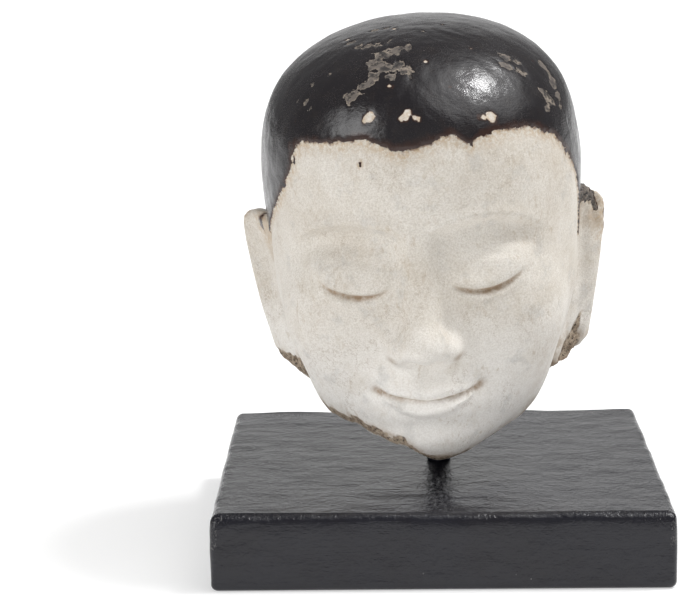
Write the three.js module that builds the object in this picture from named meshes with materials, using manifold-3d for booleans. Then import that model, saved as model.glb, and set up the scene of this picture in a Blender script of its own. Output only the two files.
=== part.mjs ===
// Carved stone head of a shaven Buddhist figure, broken off at the neck and held up by a rod on a
// square black plinth. Millimetres, +Z up, the face looking along -Y. The origin is the centre of the
// plinth's underside.
import * as THREE from 'three';
import { mergeVertices } from 'three/addons/utils/BufferGeometryUtils.js';
import { RoundedBoxGeometry } from 'three/addons/geometries/RoundedBoxGeometry.js';
import Module from 'manifold-3d';

const wasm = await Module();
wasm.setup();

// Plinth and rod
const plinthWidth = 182;
const plinthHeight = 31;
const plinthEdgeRadius = 3.2;
const plinthEdgeSteps = 3;
const rodDiameter = 9;
const rodSides = 24;
const rodInPlinth = 18;
const rodTop = 93.4;
const fitGap = 0.3;

// Head: its frame has its origin inside the head at eye level, x to its left, -y forward, z up
const headCentre = new THREE.Vector3(-6.6, 0, 131.4);
const headTurn = THREE.MathUtils.degToRad(-1.5);
const headNod = THREE.MathUtils.degToRad(6);
const headLean = THREE.MathUtils.degToRad(-3.5);

// The rounded masses of the head. The crown comes first: it leans a little and has full shoulders.
// Each of the others is blended into those before it. Those of the face are mirrored: a centre with
// x > 0 stands for one on each side.
const crown = { centre: [2.1, 4, 33.7], radii: [64.6, 75, 50.2], squareness: 2.3 };
const crownLean = 0.018;
const masses = [
  { name: 'skull', centre: [1.4, 2, -4], radii: [62.9, 70, 76], fillet: 16, mirrored: false },
  { name: 'face', centre: [0, -16, -20], radii: [55, 54, 66], fillet: 14, mirrored: true },
  { name: 'neck', centre: [-3, 15, -72], radii: [36, 38, 60], fillet: 12, mirrored: false },
  { name: 'cheeks', centre: [31, -41, -27], radii: [23, 20, 24], fillet: 12, mirrored: true },
  { name: 'jaw', centre: [20, -30, -53], radii: [25, 28, 26], fillet: 14, mirrored: true },
  { name: 'chin', centre: [0, -50, -66], radii: [22, 21, 20], fillet: 15, mirrored: true },
  { name: 'muzzle', centre: [0, -53.5, -51], radii: [24, 17.5, 17], fillet: 10, mirrored: true },
];
const lid = { centre: [26.5, -49.6, -3.5], radii: [17, 16, 11.5], fillet: 3.5 };
const noseBridge = { start: [0, -63, 13], end: [0, -76.5, -25], startRadius: 5, endRadius: 6.2 };
const noseTip = { centre: [0, -77, -29.5], radii: [8.4, 9.6, 7.6], fillet: 4 };
const noseWing = { centre: [8.8, -72.5, -32.5], radii: [5.6, 7.4, 5.8], fillet: 4.5 };
const noseFillet = 7;

// Neck break, in the object's frame: its height under the chin, how it rises to the back, faster behind
// the rod, and to the sides, and the chip along the jaw at -x, with the places where it begins and dies
// away
const breakHeight = 44.4;
const breakRiseBack = 0.1;
const napeRiseStart = -10;
const napeRise = 0.28;
const breakRiseSide = 0.16;
const breakLean = -0.05;
const breakRoughness = 0.7;
const jawChipSlope = 0.65;
const jawChipReach = 7;
const jawChipFront = -26;
const jawChipTurn = -0.5;
const jawChipEnds = [-4, 24, 46, 54];

// Relief of the face, in the head's frame: places, then depths
const browMiddle = 25;
const browHalfWidth = 24;
const browHeight = 17.5;
const browSag = 7;
const socketDepth = 4;
const browRidge = 0.9;
const eyeMiddle = 26.5;
const eyeHalfWidth = 14.8;
const eyeLineHeight = -10.8;
const eyeLineSag = 4.8;
const mouthHalfWidth = 20.5;
const mouthHeight = -53.6;
const upperLipHeight = 7;
const lowerLipHeight = 8;
const upperLipDepth = 2.1;
const lowerLipDepth = 2.5;

// Ears, in the head's frame, the head's own right ear first. Both stand on the same lines at the front
// and have the same outer face, but they are knocked and broken off in their own ways: x and y of the
// back edge and how it curves, the height and slope of the top with the drop of its corner, and the
// heights, bulge and slant of the broken end.
const earThickness = 7;
const earFrontTop = [56, -13];
const earFrontBottom = [44, -14];
const earRimHeight = 1.5;
const earHollowDepth = 2.6;
const ears = [
  {
    side: -1,
    backTop: [72.6, 14],
    backBottom: [61.4, 9],
    backCurve: 1.8,
    topHeight: 9.7,
    topSlope: 0,
    cornerDrop: 5,
    cornerSharpness: 5,
    brokenHeights: [-65.5, -57.5],
    endBulge: 2.4,
    endSlant: 0.5,
  },
  {
    side: 1,
    backTop: [74.2, 14],
    backBottom: [63.6, 9],
    backCurve: 1.5,
    topHeight: 21.7,
    topSlope: 17,
    cornerDrop: 4,
    cornerSharpness: 7,
    brokenHeights: [-62.5, -58],
    endBulge: 3.2,
    endSlant: 2.4,
  },
];

// Facets of the head and the ears; the head's rows and columns are drawn together on the face
const headColumns = 76;
const headRows = 48;
const columnCrowding = 0.7;
const rowCrowding = 0.24;
const faceRow = 0.6;
const earSteps = [8, 2, 14];

const { smoothstep, clamp, lerp } = THREE.MathUtils;

// A bump of height 1 at 0 that fades over about twice the given width
function bump(distance, width) {
  return Math.exp(-0.5 * (distance / width) ** 2);
}

// Distance from a point to an ellipsoid, negative inside. With a squareness above 2 it has fuller
// shoulders than an ellipsoid's, and it stays as round as one seen from above.
function ellipsoid(p, { centre, radii, squareness = 2 }) {
  const [x, y, z] = p.map((value, i) => (value - centre[i]) / radii[i]);
  const around = Math.hypot(x, y);
  const upright = Math.abs(z);
  const near = Math.max((around ** squareness + upright ** squareness) ** (1 / squareness), 1e-9);
  const outward = (around / near) ** (squareness - 2) * Math.hypot(x / radii[0], y / radii[1]) / near;
  const upward = (upright / near) ** (squareness - 1) / radii[2];
  return (near - 1) / Math.max(Math.hypot(outward, upward), 1e-9);
}

// Distance from a point to a rod with round ends that widens from one end to the other
function taperedRod(p, { start, end, startRadius, endRadius }) {
  const along = new THREE.Vector3(...end).sub(new THREE.Vector3(...start));
  const offset = new THREE.Vector3(...p).sub(new THREE.Vector3(...start));
  const t = clamp(offset.dot(along) / along.lengthSq(), 0, 1);
  return offset.addScaledVector(along, -t).length() - lerp(startRadius, endRadius, t);
}

// Two shapes joined with a fillet of the given size
function blend(a, b, size) {
  const h = Math.max(size - Math.abs(a - b), 0) / size;
  return Math.min(a, b) - (h * h * size) / 4;
}

// Depth of the hollow under the brow, less the brow's own ridge
function browRelief(x, z) {
  const u = (x - browMiddle) / browHalfWidth;
  const below = browHeight - browSag * u * u * (1 + 0.2 * Math.sign(u)) - z;
  const width = smoothstep(x, 3, 9) * (1 - smoothstep(x, 36, 53));
  const socket = smoothstep(below, -1.5, 4.5) * (1 - smoothstep(below, 6, 26));
  return width * (socketDepth * socket - browRidge * bump(below + 1.2, 1.9));
}

function noseDistance(q) {
  const tip = blend(taperedRod(q, noseBridge), ellipsoid(q, noseTip), noseTip.fillet);
  return blend(tip, ellipsoid(q, noseWing), noseWing.fillet);
}

// Closed eye: the upper lid's edge and fold, the line under it and the lower lid
function eyeRelief(x, z) {
  const u = (x - eyeMiddle) / eyeHalfWidth;
  if (Math.abs(u) >= 1) {
    return 0;
  }
  const above = z - (eyeLineHeight + eyeLineSag * u * u + 0.8 * u);
  const lidEdge = 1.1 * smoothstep(above, -0.5, 0.4) * (1 - smoothstep(above, 1, 8));
  const line = 1.3 * bump(above + 1.2, 0.9);
  const lowerLid = 0.9 * bump(above + 3.8, 1.5);
  const fold = 0.5 * bump(z - 2.2 + 3.6 * u * u, 0.9);
  return Math.sqrt(1 - u * u) * (line + fold - lidEdge - lowerLid);
}

// Lips, the line between them, the corner of the mouth and the hollows above and below
function mouthRelief(x, z) {
  const m = clamp(x / mouthHalfWidth, 0, 1);
  const line = mouthHeight - 0.8 * bump(x, 5) + 3 * m * m;
  const cupidBow = bump(x - 5.5, 3) - 1.1 * bump(x, 2.2);
  const top = mouthHeight + upperLipHeight + cupidBow - 4 * m ** 2.2;
  const bottom = mouthHeight - lowerLipHeight + 11 * m ** 2.4;
  const upper = clamp((z - line) / Math.max(top - line, 1.2), 0, 1);
  const lower = clamp((line - z) / Math.max(line - bottom, 1.2), 0, 1);
  const fullness = (1 - m * m) ** 1.1;
  const lips = upperLipDepth * Math.sin(Math.PI * upper) + lowerLipDepth * Math.sin(Math.PI * lower);
  const seam = 1.2 * bump(z - line, 0.8) * (1 - smoothstep(x, mouthHalfWidth - 2, mouthHalfWidth + 2));
  const corner = 1.6 * bump(x - mouthHalfWidth - 0.5, 2.6) * bump(z - mouthHeight - 3, 2.4);
  const groove = 0.9 * bump(x, 2.3) * smoothstep(z, -48, -44) * (1 - smoothstep(z, -41, -37.5));
  const underLip = 1.8 * bump(z + 66, 3.2) * bump(x, 13);
  return seam + corner + groove + underLip - fullness * lips;
}

// Distance from a point to the head's surface, negative inside
function headDistance(p) {
  const q = [Math.abs(p[0]), p[1], p[2]];
  const [x, y, z] = q;
  const front = smoothstep(-y, 15, 35);
  let d = ellipsoid([p[0] + crownLean * p[2], p[1], p[2] - crownLean * p[0]], crown);
  for (const mass of masses) {
    d = blend(d, ellipsoid(mass.mirrored ? q : p, mass), mass.fillet);
  }
  d += front * browRelief(x, z);
  d = blend(d, ellipsoid(q, lid), lid.fillet);
  d = blend(d, noseDistance(q), noseFillet);
  return d + front * (eyeRelief(x, z) + mouthRelief(x, z));
}

// The head's surface along a line from its middle, found by halving
function surfaceRadius(middle, direction) {
  let inside = 25;
  let outside = 140;
  const halvings = 20;
  for (let step = 0; step < halvings; step += 1) {
    const radius = (inside + outside) / 2;
    const point = new THREE.Vector3().copy(middle).addScaledVector(direction, radius);
    if (headDistance(point.toArray()) < 0) {
      inside = radius;
    } else {
      outside = radius;
    }
  }
  return (inside + outside) / 2;
}

// A sphere pushed out to the head's surface
function headGeometry() {
  const middle = new THREE.Vector3(0, -4, 0);
  const geometry = new THREE.SphereGeometry(1, headColumns, headRows);
  const position = geometry.attributes.position;
  const uv = geometry.attributes.uv;
  for (let i = 0; i < position.count; i += 1) {
    const row = 1 - Math.round(uv.getY(i) * headRows) / headRows;
    const column = (Math.floor(uv.getX(i) * headColumns + 0.25) % headColumns) / headColumns;
    const crowding = Math.sin(2 * Math.PI * (row - faceRow)) + Math.sin(2 * Math.PI * faceRow);
    const polar = Math.PI * row - rowCrowding * crowding;
    const azimuth = 2 * Math.PI * column - columnCrowding * Math.sin(2 * Math.PI * column);
    const atPole = row === 0 || row === 1;
    const across = atPole ? 0 : Math.sin(polar);
    const direction = new THREE.Vector3(
      across * Math.sin(azimuth),
      -across * Math.cos(azimuth),
      atPole ? Math.sign(0.5 - row) : Math.cos(polar),
    );
    const point = direction.multiplyScalar(surfaceRadius(middle, direction.clone())).add(middle);
    position.setXYZ(i, point.x, point.y, point.z);
  }
  return geometry;
}

// A long ear with its lobe broken off: a thin box bent into an upright slab that stands out backwards
function earGeometry(ear) {
  const geometry = new THREE.BoxGeometry(1, 1, 1, ...earSteps);
  const position = geometry.attributes.position;
  for (let i = 0; i < position.count; i += 1) {
    const s = position.getX(i) + 0.5;
    const w = -position.getY(i);
    const t = 0.5 - position.getZ(i);
    const corner = ear.cornerDrop * s ** ear.cornerSharpness;
    const top = ear.topHeight - ear.topSlope * s - corner - 3 * (1 - s) ** 2;
    const bulge = ear.endBulge * Math.sin(Math.PI * s);
    const bottom = lerp(...ear.brokenHeights, s) - bulge + ear.endSlant * w;
    const z = lerp(top, bottom, t);
    const frontX = lerp(earFrontTop[0], earFrontBottom[0], t);
    const frontY = lerp(earFrontTop[1], earFrontBottom[1], t);
    const backX = lerp(ear.backTop[0], ear.backBottom[0], t ** ear.backCurve);
    const backY = lerp(ear.backTop[1], ear.backBottom[1], t);
    const across = new THREE.Vector2(backX - frontX, backY - frontY);
    const outward = new THREE.Vector2(across.y, -across.x).normalize();
    const rim = earRimHeight * Math.max(bump(s - 0.93, 0.1), bump(t - 0.03, 0.06));
    const hollow = earHollowDepth * bump(s - 0.62, 0.16) * bump(t - 0.36, 0.22);
    const face = w > 0 ? rim - hollow : 0;
    const rounding = 1 - 0.35 * smoothstep(s, 0.8, 1) - 0.4 * (1 - smoothstep(s, 0, 0.3))
      - 0.2 * (1 - smoothstep(t, 0, 0.08));
    const offset = w * earThickness * rounding + face;
    position.setXYZ(
      i,
      lerp(frontX, backX, s) + outward.x * offset,
      lerp(frontY, backY, s) + outward.y * offset,
      z,
    );
  }
  if (ear.side > 0) {
    return geometry;
  }
  geometry.scale(-1, 1, 1);
  const index = geometry.index.array;
  for (let i = 0; i < index.length; i += 3) {
    [index[i], index[i + 1]] = [index[i + 1], index[i]];
  }
  return geometry;
}

// Height of the broken neck's underside in the object's frame. Along the jaw at -x it turns up and
// forwards, where a long chip has left the stone.
function breakSurface(x, y) {
  const slope = breakRiseBack * (y + 40) + breakRiseSide * Math.abs(x) + breakLean * x;
  const nape = napeRise * Math.max(0, y - napeRiseStart);
  const lumps = Math.sin(0.21 * x + 1) * Math.cos(0.17 * y) + 0.7 * Math.sin(0.43 * x - 0.31 * y + 2);
  const chipStart = jawChipFront + jawChipTurn * x;
  const [innerEnd, innerFull, outerFull, outerEnd] = jawChipEnds;
  const chipEnds = smoothstep(-x, innerEnd, innerFull) * (1 - smoothstep(-x, outerFull, outerEnd));
  const chip = jawChipSlope * clamp(chipStart - y, 0, jawChipReach) * chipEnds;
  return breakHeight + slope + nape + chip + breakRoughness * lumps;
}

// The stone that is missing below the break
function missingNeck() {
  const size = 150;
  const depth = 60;
  const geometry = new THREE.BoxGeometry(size, size, depth, 30, 30, 1);
  const position = geometry.attributes.position;
  for (let i = 0; i < position.count; i += 1) {
    const x = position.getX(i);
    const y = position.getY(i);
    const z = position.getZ(i) > 0 ? breakSurface(x, y) : breakHeight - depth;
    position.setXYZ(i, x, y, z);
  }
  return geometry;
}

// An upright cylinder on the Z axis between two heights
function post(diameter, bottom, top) {
  const geometry = new THREE.CylinderGeometry(diameter / 2, diameter / 2, top - bottom, rodSides);
  return geometry.rotateX(Math.PI / 2).translate(0, 0, (bottom + top) / 2);
}

function toSolid(geometry) {
  const shell = geometry.clone();
  shell.deleteAttribute('normal');
  shell.deleteAttribute('uv');
  const merged = mergeVertices(shell, 1e-4);
  const vertProperties = new Float32Array(merged.attributes.position.array);
  const triVerts = new Uint32Array(merged.index.array);
  return new wasm.Manifold(new wasm.Mesh({ numProp: 3, vertProperties, triVerts }));
}

function toGeometry(solid) {
  const mesh = solid.getMesh();
  const geometry = new THREE.BufferGeometry();
  geometry.setAttribute('position', new THREE.BufferAttribute(mesh.vertProperties, 3));
  geometry.setIndex(new THREE.BufferAttribute(mesh.triVerts, 1));
  geometry.computeVertexNormals();
  return geometry;
}

function namedMesh(name, geometry, color, roughness, metalness) {
  const mesh = new THREE.Mesh(geometry, new THREE.MeshStandardMaterial({ color, roughness, metalness }));
  mesh.name = name;
  return mesh;
}

function makePlinth() {
  const slab = new RoundedBoxGeometry(
    plinthWidth, plinthWidth, plinthHeight, plinthEdgeSteps, plinthEdgeRadius);
  slab.translate(0, 0, plinthHeight / 2);
  const socketFloor = plinthHeight - rodInPlinth;
  const socket = post(rodDiameter + 2 * fitGap, socketFloor - fitGap, plinthHeight + 1);
  const solid = toSolid(slab).subtract(toSolid(socket));
  return namedMesh('plinth', toGeometry(solid), 0x16171a, 0.35, 0);
}

function makeRod() {
  return namedMesh('rod', post(rodDiameter, plinthHeight - rodInPlinth, rodTop), 0x131315, 0.4, 0.2);
}

// The head is carved in its own tilted frame; what is cut from it is brought into that frame first
function makeHead() {
  const tilted = new THREE.Group();
  tilted.position.copy(headCentre);
  tilted.rotation.set(headNod, headLean, headTurn, 'ZXY');
  tilted.updateMatrix();
  const intoHead = tilted.matrix.clone().invert();
  const socket = post(rodDiameter + 2 * fitGap, 0, rodTop + fitGap).applyMatrix4(intoHead);
  const [rightEar, leftEar] = ears;
  const solid = toSolid(headGeometry())
    .add(toSolid(earGeometry(rightEar)))
    .add(toSolid(earGeometry(leftEar)))
    .subtract(toSolid(missingNeck().applyMatrix4(intoHead)))
    .subtract(toSolid(socket));
  tilted.add(namedMesh('head', toGeometry(solid), 0xcfc6b8, 0.75, 0));
  return tilted;
}

const group = new THREE.Group();
group.add(makePlinth(), makeRod(), makeHead());

export default group;
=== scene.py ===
import math

import bpy
import numpy as np
from mathutils import Matrix, Vector


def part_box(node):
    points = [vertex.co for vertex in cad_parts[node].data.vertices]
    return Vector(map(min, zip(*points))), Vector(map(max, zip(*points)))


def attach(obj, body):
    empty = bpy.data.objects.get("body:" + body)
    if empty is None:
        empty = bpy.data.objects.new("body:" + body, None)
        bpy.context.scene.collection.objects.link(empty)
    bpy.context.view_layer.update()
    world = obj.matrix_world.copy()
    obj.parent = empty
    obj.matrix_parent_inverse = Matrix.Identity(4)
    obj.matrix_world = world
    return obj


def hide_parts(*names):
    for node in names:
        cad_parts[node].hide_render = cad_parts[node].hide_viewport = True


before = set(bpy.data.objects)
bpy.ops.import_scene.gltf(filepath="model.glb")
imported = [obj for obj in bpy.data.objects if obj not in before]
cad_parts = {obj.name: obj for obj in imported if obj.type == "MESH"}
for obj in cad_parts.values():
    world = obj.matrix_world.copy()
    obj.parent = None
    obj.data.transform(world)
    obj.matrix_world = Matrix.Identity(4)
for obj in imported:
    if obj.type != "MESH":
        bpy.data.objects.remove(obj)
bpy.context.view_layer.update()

bl_info = {
    "name": "Stone head on a plinth",
    "version": (1, 0, 0),
    "blender": (4, 5, 0),
    "location": "View3D > Sidebar > Stone head",
    "description": "A carved and lacquered stone head, broken at the neck, on a rod and a painted plinth",
    "category": "Object",
}

ROD_LOW, ROD_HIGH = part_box("rod")
PLINTH_LOW, PLINTH_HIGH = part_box("plinth")
MM = 0.001

ROD_RADIUS = (ROD_HIGH.x - ROD_LOW.x) / 2
ROD_PLAY = 0.3 * MM
ROD_SIDES = 48
ROD_STEPS = 100
ROD_PAINT_LUMPS = 0.12 * MM
PLINTH_CELLS = (112, 112, 26)
# How evenly the plinth's faces are spread from 0 to 1, and how much more its sides lean in in front
PLINTH_EVEN_SHARE = (0.2, 0.2, 0.45)
PLINTH_FRONT_LEAN = 1.9

# The head's own frame: origin inside the head at eye level, x to its left, y to its back, z up. It is
# turned and tilted in the frame, and its place is counted from the middle of the plinth's top.
HEAD_FROM_PLINTH = Vector((-6.6, 0, 100.4)) * MM
HEAD_TURN = math.radians(-1.5)
HEAD_NOD = math.radians(6)
HEAD_LEAN = math.radians(-3.5)
HEAD_ORIGIN = Vector((
    (PLINTH_LOW.x + PLINTH_HIGH.x) / 2,
    (PLINTH_LOW.y + PLINTH_HIGH.y) / 2,
    PLINTH_HIGH.z,
)) + HEAD_FROM_PLINTH
HEAD_TILT = (
    Matrix.Rotation(HEAD_TURN, 3, "Z")
    @ Matrix.Rotation(HEAD_NOD, 3, "X")
    @ Matrix.Rotation(HEAD_LEAN, 3, "Y")
)

# The rounded masses of the head in millimetres. The crown leans a little and has full shoulders, and
# each of the others is blended into those before it.
CROWN = {"centre": (2.1, 4, 33.7), "radii": (64.6, 75, 50.2), "squareness": 2.3}
CROWN_LEAN = 0.018
MASSES = [
    {"centre": (1.4, 2, -4), "radii": (62.9, 70, 76), "fillet": 16, "mirrored": False},
    {"centre": (0, -16, -20), "radii": (55, 54, 66), "fillet": 14, "mirrored": True},
    {"centre": (-3, 15, -72), "radii": (36, 38, 60), "fillet": 12, "mirrored": False},
    {"centre": (31, -41, -27), "radii": (23, 20, 24), "fillet": 12, "mirrored": True},
    {"centre": (20, -30, -53), "radii": (25, 28, 26), "fillet": 14, "mirrored": True},
    {"centre": (0, -50, -66), "radii": (22, 21, 20), "fillet": 15, "mirrored": True},
    {"centre": (0, -53.5, -51), "radii": (24, 17.5, 17), "fillet": 10, "mirrored": True},
]
LID = {"centre": (26.5, -49.6, -3.5), "radii": (17, 16, 11.5), "fillet": 3.5}
NOSE_TIP = {"centre": (0, -77, -29.5), "radii": (8.4, 9.6, 7.6), "fillet": 4}
NOSE_WING = {"centre": (8.8, -72.5, -32.5), "radii": (5.6, 7.4, 5.8), "fillet": 4.5}
NOSE_BRIDGE = ((0, -63, 13), (0, -76.5, -25), 5, 6.2)
NOSE_FILLET = 7
EYE_MIDDLE = 26.5
EYE_HALF_WIDTH = 14.8
MOUTH_HALF_WIDTH = 20.5
MOUTH_HEIGHT = -53.6
# Relief of the face in millimetres, deep or high
SOCKET_DEPTH = 4
BROW_RIDGE = 0.9
EYE_LINE_DEPTH = 1.3
LID_EDGE = 1.1
LOWER_LID = 0.9
LID_FOLD = 0.5
NOSTRIL_DEPTH = 1.8
UPPER_LIP = 2.1
LOWER_LIP = 2.5
LIP_SEAM_DEPTH = 1.2
MOUTH_CORNER_DEPTH = 1.6
LIP_GROOVE_DEPTH = 0.9
UNDER_LIP_DEPTH = 1.8

# How the mesh is drawn together on the face: which share of the way down, and how strongly
FACE_ROW = 0.6
ROW_CROWDING = 0.2
COLUMN_CROWDING = 0.55
# The mesh is pushed out from here, and the surface lies between these distances from it
HEAD_MIDDLE = np.array([0, -4, 0])
NEAREST_SURFACE = 25.0
FARTHEST_SURFACE = 140.0
HALVINGS = 20

# The hairline: its height at the front, and the bumps and dips of its painted edge as
# (degrees round the head, height in mm, width in degrees)
HAIRLINE_HEIGHT = 48.6
HAIRLINE_WAVES = [
    (-45, -1.2, 5),
    (-17, 2.3, 4.5),
    (-3.5, -2.4, 4.2),
    (12.5, 1.9, 3.6),
    (19.3, -2.6, 1.7),
    (34, 1.0, 5),
]
# Beyond so many degrees round the head the front hairline droops, in mm for each degree squared
DROOP_START = 38
HAIRLINE_DROOP = 0.022
# The side edges of the cap: degrees round the head at -x and at +x where they begin, how far round they
# may come, mm to the degree there, and the rounding of the corner with the front hairline
RIGHT_EDGE = 46
LEFT_EDGE = 56
LAST_EDGE = 104
MM_PER_DEGREE = 1.13
HAIR_CORNER = 3.0
NAPE_HEIGHT = -46

# Places where the lacquer has come off down to the stone, seen from the head's origin: degrees round
# the head (positive towards +x), degrees up, and radius in mm
CHIPS = {"seed": 21, "raggedness": 0.7, "places": [
    (-14, 43, 2.0), (-15.5, 42, 1.1), (-1, 42.5, 1.7), (-2.5, 42, 1.1), (0, 43.5, 1.3), (2, 42, 1.0),
    (3.5, 41.5, 0.8), (29, 40, 2.3), (26, 40, 1.1), (24, 40.5, 0.7), (10, 60, 0.9), (-7.5, 52, 0.8),
    (-6, 51.5, 0.7), (-66, 72, 0.9), (-25, 82, 0.8), (-48, 42, 0.5), (-49, 35.5, 0.9), (61, 79, 0.4),
    (-76, 64, 0.4), (70, 52, 0.5), (40, 63, 0.4), (17, 50, 0.3),
    (-134, 60, 2.2), (160, 38, 1.8), (-138, 29, 1.4), (130, 36, 1.6),
]}
# Places where only its top coat has flaked off
FLAKES = {"seed": 41, "raggedness": 2.2, "places": [
    (-18, 61, 3.2), (-14, 65, 3.4), (-8, 67, 3.0), (-1, 68, 2.0), (-11, 59, 3.6), (-5, 59, 3.4),
    (-1, 57, 2.8), (-7, 56, 2.2), (-14, 56, 2.4), (-17, 54, 2.0), (-19, 52, 2.2), (-21, 50, 1.9),
    (-23, 49, 2.2), (-57, 71, 1.8), (-39, 69, 2.0), (-32, 69, 1.5), (-25, 71, 1.4), (-18, 72, 1.6),
    (-56, 79, 1.0), (-48, 82, 1.2), (-18, 81, 1.0), (22, 78, 0.8), (54, 56, 2.2), (58, 54, 2.0),
    (50, 53, 2.4), (54, 51, 1.8), (76, 49, 2.2), (75, 46, 2.0), (72, 44, 2.4), (70, 41, 2.0),
    (62, 40, 2.4), (58, 39, 1.8), (60, 43, 2.0), (68, 38, 1.6), (-46, 47, 1.2), (-42, 46, 0.9),
    (-41, 57, 0.8), (-48, 53, 0.7), (-52, 48, 0.6),
    (-103, 47, 3.0), (-112, 49, 2.2), (168, 45, 4.0), (175, 40, 3.0),
]}
# Flecks of lacquer left on the skin
FLECKS = {"seed": 31, "raggedness": 0.8, "places": [
    (-16.5, 31, 1.0), (-53, 24, 1.5), (-52, 25.5, 0.9), (-46, 31, 1.0), (20, 34, 0.8), (65, 26, 1.0),
]}
# In millimetres: how far chips and flakes sink into the lacquer and flecks stand up from the stone, how
# wide the swelling at the lacquer's edge fades out on the skin and on the hair, and how far the stone
# under the lacquer lies lower
CHIP_DEPTH = 0.3
FLAKE_DEPTH = 0.25
FLECK_HEIGHT = 0.2
SWELLING_ON_SKIN = 7
SWELLING_ON_HAIR = 9
COVERED_DROP = 0.1
# How many times steeper than its mm the painted edge of a chip is
CHIP_STEEPNESS = 5

# The break under the neck, in the frame's directions, in millimetres
BREAK_HEIGHT = 44.4
BREAK_SLOPE_BACK = 0.1
BREAK_SLOPE_OUT = 0.16
BREAK_SLOPE_ACROSS = 0.05
BREAK_WAVE = 0.7
NAPE_RISE_START = -10
NAPE_RISE = 0.28
JAW_CHIP_SLOPE = 0.65
JAW_CHIP_REACH = 7
HOLLOW_DEPTH = 4
HOLLOW_WIDTH = 8
# The tool that cuts the break
BREAK_TOOL_SIZE = 150 * MM
BREAK_TOOL_HEIGHT = 30 * MM
BREAK_CELLS = 150

# Ears, in the head's frame, in millimetres: x and y of their front and back edges at the top and the
# bottom, the height, slope and corner of the top, and the heights, bulge and slant of the broken end
EAR_FRONT = ((56, -13), (44, -14))
EAR_THICKNESS = 7
RIGHT_EAR = {
    "side": -1,
    "back": ((72.6, 14), (61.4, 9)),
    "back_curve": 1.8,
    "top": 9.7,
    "top_slope": 0,
    "corner_drop": 5,
    "corner_sharpness": 5,
    "broken_heights": (-65.5, -57.5),
    "end_bulge": 2.4,
    "end_slant": 0.5,
}
LEFT_EAR = {
    "side": 1,
    "back": ((74.2, 14), (63.6, 9)),
    "back_curve": 1.5,
    "top": 21.7,
    "top_slope": 17,
    "corner_drop": 4,
    "corner_sharpness": 7,
    "broken_heights": (-62.5, -58),
    "end_bulge": 3.2,
    "end_slant": 2.4,
}
EAR_CELLS = (44, 8, 84)
EAR_RIM = 1.5
EAR_FOLD = 1.0
EAR_HOLLOW = 2.6
EAR_GROOVE = 0.7
EAR_SOFT_CORNER = 1.4

# Edges sharper than these angles are left unsmoothed
STONE_SMOOTHING = math.radians(50)
PAINT_SMOOTHING = math.radians(40)

# The soft lights of the room: where each is seen, how many degrees from there it is full and gone, and
# the setting that gives its strength
ROOM_LIGHTS = [
    ((0.498, -0.044, 0.866), 5, 40, "overhead"),
    ((-0.750, -0.433, 0.500), 3, 24, "side_light"),
    ((0.000, -0.985, 0.174), 12, 50, "front_fill"),
    ((0.000, 0.970, 0.242), 5, 22, "backdrop"),
]
KEY_TOWARDS = Vector((0.68, 0.13, 1.2))
KEY_WIDTH = math.radians(10)
SENSOR_WIDTH = 36
FLOOR_SIZE = 30
FLOOR_MIDDLE = (0, 8, 0)

# Depths of the materials' finest relief
STONE_BUMP = 0.16 * MM
ROD_BUMP = 0.2 * MM
PLINTH_BUMP = 0.34 * MM
# What the stone's material reads where nothing else is painted
STONE_ONLY = {"lacquer": -9, "flake": -9, "broken": 0, "recess": 0, "grime": 0}


# ---------------------------------------------------------------- shapes made of numbers

def smoothstep(value, low, high):
    t = np.clip((value - low) / (high - low), 0, 1)
    return t * t * (3 - 2 * t)


def window(value, low, full_from, full_to, high):
    """1 in the middle of a range, fading to 0 at both its ends."""
    return smoothstep(value, low, full_from) * (1 - smoothstep(value, full_to, high))


def bump(distance, width):
    """A bump of height 1 at 0 that fades over about twice the given width."""
    return np.exp(-0.5 * (distance / width) ** 2)


def lerp(a, b, t):
    return a + (b - a) * t


def lumps(points, size, seed):
    """Smooth random lumps between -1 and 1, about one to each stretch of the given size."""
    side = 32
    lattice = np.random.default_rng(seed).uniform(-1, 1, (side, side, side))
    q = points / size + 1000.5
    cell = np.floor(q).astype(int)
    t = q - cell
    t = t * t * (3 - 2 * t)
    total = np.zeros(len(points))
    for i in (0, 1):
        for j in (0, 1):
            for k in (0, 1):
                weight = (
                    np.abs(1 - i - t[:, 0]) * np.abs(1 - j - t[:, 1]) * np.abs(1 - k - t[:, 2])
                )
                corner = lattice[
                    (cell[:, 0] + i) % side, (cell[:, 1] + j) % side, (cell[:, 2] + k) % side
                ]
                total += weight * corner
    return total


def rough(points, size, seed, octaves=3):
    """Lumps of several sizes, each half as large and half as high as the one before."""
    return sum(lumps(points, size / 2**n, seed + n) / 2**n for n in range(octaves))


def ellipsoid(p, mass):
    """Distance from points to an ellipsoid, negative inside. A squareness above 2 fills its shoulders."""
    radii = np.array(mass["radii"], float)
    square = mass.get("squareness", 2)
    x, y, z = ((p - np.array(mass["centre"], float)) / radii).T
    around = np.hypot(x, y)
    upright = np.abs(z)
    near = np.maximum((around**square + upright**square) ** (1 / square), 1e-9)
    outward = (around / near) ** (square - 2) * np.hypot(x / radii[0], y / radii[1]) / near
    upward = (upright / near) ** (square - 1) / radii[2]
    return (near - 1) / np.maximum(np.hypot(outward, upward), 1e-9)


def tapered_rod(p, start, end, start_radius, end_radius):
    """Distance from points to a rod with round ends that widens from one end to the other."""
    start = np.array(start, float)
    along = np.array(end, float) - start
    t = np.clip((p - start) @ along / (along @ along), 0, 1)
    offset = p - start - t[:, None] * along
    return np.sqrt((offset**2).sum(1)) - lerp(start_radius, end_radius, t)


def blend(a, b, size):
    """Two shapes joined with a fillet of the given size."""
    h = np.maximum(size - np.abs(a - b), 0) / size
    return np.minimum(a, b) - h * h * size / 4


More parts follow.
